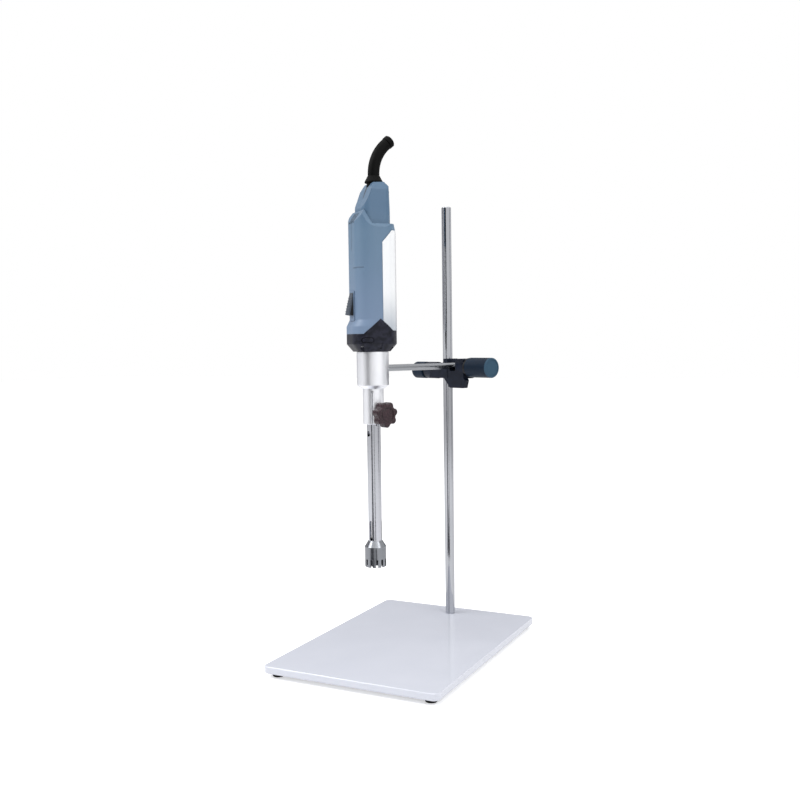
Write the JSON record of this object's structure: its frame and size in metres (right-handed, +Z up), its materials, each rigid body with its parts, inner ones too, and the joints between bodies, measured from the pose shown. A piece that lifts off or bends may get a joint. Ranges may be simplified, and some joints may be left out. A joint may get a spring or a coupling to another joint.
{
  "type": "rotor stator homogenizer",
  "caption": "Stand-mounted rotor stator homogenizer: a mixing motor on a cross clamp, rod and plate stand, with a slotted dispersing tool hanging below its collar.",
  "frame": {"origin": "centre of the overall footprint, on the surface the feet stand on", "axes": "+Z up along the column, +Y from the tool towards the column, +X to the right"},
  "size_m": [0.21, 0.3088, 0.6049],
  "materials": {
    "white_lacquer": "white gloss lacquer",
    "black_rubber": "matt black rubber",
    "polished_steel": "polished stainless steel",
    "plain_steel": "plain steel screws and bearings",
    "navy_enamel": "dark blue enamel on a casting",
    "blue_knob": "slate blue plastic",
    "black_plastic": "matt black plastic",
    "satin_aluminium": "satin turned aluminium",
    "maroon_phenolic": "dark maroon moulded phenolic",
    "slate_blue_shell": "slate blue moulded plastic",
    "charcoal_shell": "charcoal moulded plastic",
    "white_panel": "bare white gloss panel",
    "grey_switch": "grey plastic",
    "lamination": "laminated iron",
    "copper": "copper windings and bars",
    "carbon": "pressed carbon",
    "white_bush": "white fluoropolymer"
  },
  "bodies": {
    "base": {"base_plate": "white_lacquer", "rubber_feet": "black_rubber", "foot_screws": "plain_steel", "column_bolt": "plain_steel"},
    "column": {"column": "polished_steel"},
    "clamp": {"boss_head": "navy_enamel"},
    "column_pad": {"column_clamp_pad": "plain_steel"},
    "column_knob": {"column_clamp_screw": "plain_steel", "column_clamp_knob": "blue_knob"},
    "arm_pad": {"arm_clamp_pad": "plain_steel"},
    "arm_knob": {"arm_clamp_screw": "plain_steel", "arm_knob_skirt": "black_plastic", "arm_clamp_knob": "blue_knob"},
    "arm": {"support_arm": "polished_steel"},
    "unit": {"motor_collar": "satin_aluminium", "collar_set_screws": "plain_steel", "tool_sleeve": "satin_aluminium", "front_cap": "charcoal_shell", "cap_screws": "plain_steel", "motor_housing": "slate_blue_shell", "label_panel": "white_panel", "tail_shell_near": "slate_blue_shell", "tail_shell_back": "slate_blue_shell", "tail_screws": "plain_steel", "strain_relief_boot": "black_rubber", "boot_core": "black_rubber", "switch_frame": "black_plastic", "micro_switch": "black_plastic", "bearing_bracket": "satin_aluminium", "front_bearing": "plain_steel", "rear_bearing": "plain_steel", "bearing_bridge": "charcoal_shell", "air_baffle": "black_plastic", "field_core": "lamination", "field_coils": "copper", "carbon_brushes": "carbon", "brush_holders": "black_plastic", "brush_springs": "plain_steel"},
    "armature": {"motor_shaft": "polished_steel", "cooling_fan": "black_plastic", "armature_core": "lamination", "armature_windings": "copper", "commutator": "copper", "drive_dog": "plain_steel"},
    "switch": {"switch_button": "grey_switch", "switch_carrier": "black_plastic", "switch_rod": "black_plastic"},
    "star_pad": {"star_pad": "plain_steel"},
    "star_knob": {"star_screw": "plain_steel", "star_knob": "maroon_phenolic"},
    "tool": {"stator_tube": "polished_steel", "stator_head": "polished_steel", "lower_bush": "white_bush", "upper_bearing": "white_bush"},
    "rotor": {"rotor": "polished_steel", "rotor_screw": "plain_steel", "rotor_shaft": "polished_steel"}
  },
  "joints": [
    {"name": "column_swivel", "type": "hinge", "parent": "base", "child": "column", "pos_m": [0, 0.11962, 0.013], "axis": [0, 0, 1], "range_deg": [-180, 180]},
    {"name": "clamp_height", "type": "slide", "parent": "column", "child": "clamp", "axis": [0, 0, 1], "range_m": [-0.078, 0.185]},
    {"name": "column_pad_slide", "type": "slide", "parent": "clamp", "child": "column_pad", "axis": [-0.9063, 0.4226, 0], "range_m": [0, 0.0025]},
    {"name": "column_knob_turn", "type": "hinge", "parent": "column_pad", "child": "column_knob", "pos_m": [-0.03263, 0.13483, 0.327], "axis": [-0.9063, 0.4226, 0], "range_deg": [0, 720]},
    {"name": "arm_pad_slide", "type": "slide", "parent": "clamp", "child": "arm_pad", "axis": [0.9063, -0.4226, 0], "range_m": [0, 0.0025]},
    {"name": "arm_knob_turn", "type": "hinge", "parent": "arm_pad", "child": "arm_knob", "pos_m": [0.03625, 0.10271, 0.331], "axis": [0.9063, -0.4226, 0], "range_deg": [0, 720]},
    {"name": "arm_reach", "type": "slide", "parent": "clamp", "child": "arm", "axis": [0.4226, 0.9063, 0], "range_m": [0, 0.08]},
    {"name": "unit_tilt", "type": "hinge", "parent": "arm", "child": "unit", "pos_m": [-0.04177, -0.00545, 0.333], "axis": [0.4226, 0.9063, 0], "range_deg": [-90, 90]},
    {"name": "armature_spin", "type": "hinge", "parent": "unit", "child": "armature", "pos_m": [-0.04177, -0.00545, 0.353], "axis": [0, 0, 1], "continuous": true},
    {"name": "switch_slide", "type": "slide", "parent": "unit", "child": "switch", "axis": [0, 0, -1], "range_m": [0, 0.005]},
    {"name": "star_pad_slide", "type": "slide", "parent": "unit", "child": "star_pad", "axis": [0.9063, -0.4226, 0], "range_m": [0, 0.0015]},
    {"name": "star_knob_turn", "type": "hinge", "parent": "star_pad", "child": "star_knob", "pos_m": [-0.02681, -0.01242, 0.2795], "axis": [0.9063, -0.4226, 0], "range_deg": [0, 540]},
    {"name": "tool_release", "type": "slide", "parent": "unit", "child": "tool", "axis": [0, 0, -1], "range_m": [0, 0.045]},
    {"name": "rotor_spin", "type": "hinge", "parent": "tool", "child": "rotor", "pos_m": [-0.04177, -0.00545, 0.0972], "axis": [0, 0, 1], "continuous": true}
  ],
  "couplings": [
    {"joint": "column_knob_turn", "follows": "column_pad_slide", "rad_per_m": 5026.5},
    {"joint": "arm_knob_turn", "follows": "arm_pad_slide", "rad_per_m": 5026.5},
    {"joint": "star_knob_turn", "follows": "star_pad_slide", "rad_per_m": 6283.1},
    {"joint": "rotor_spin", "follows": "armature_spin", "ratio": 1}
  ]
}
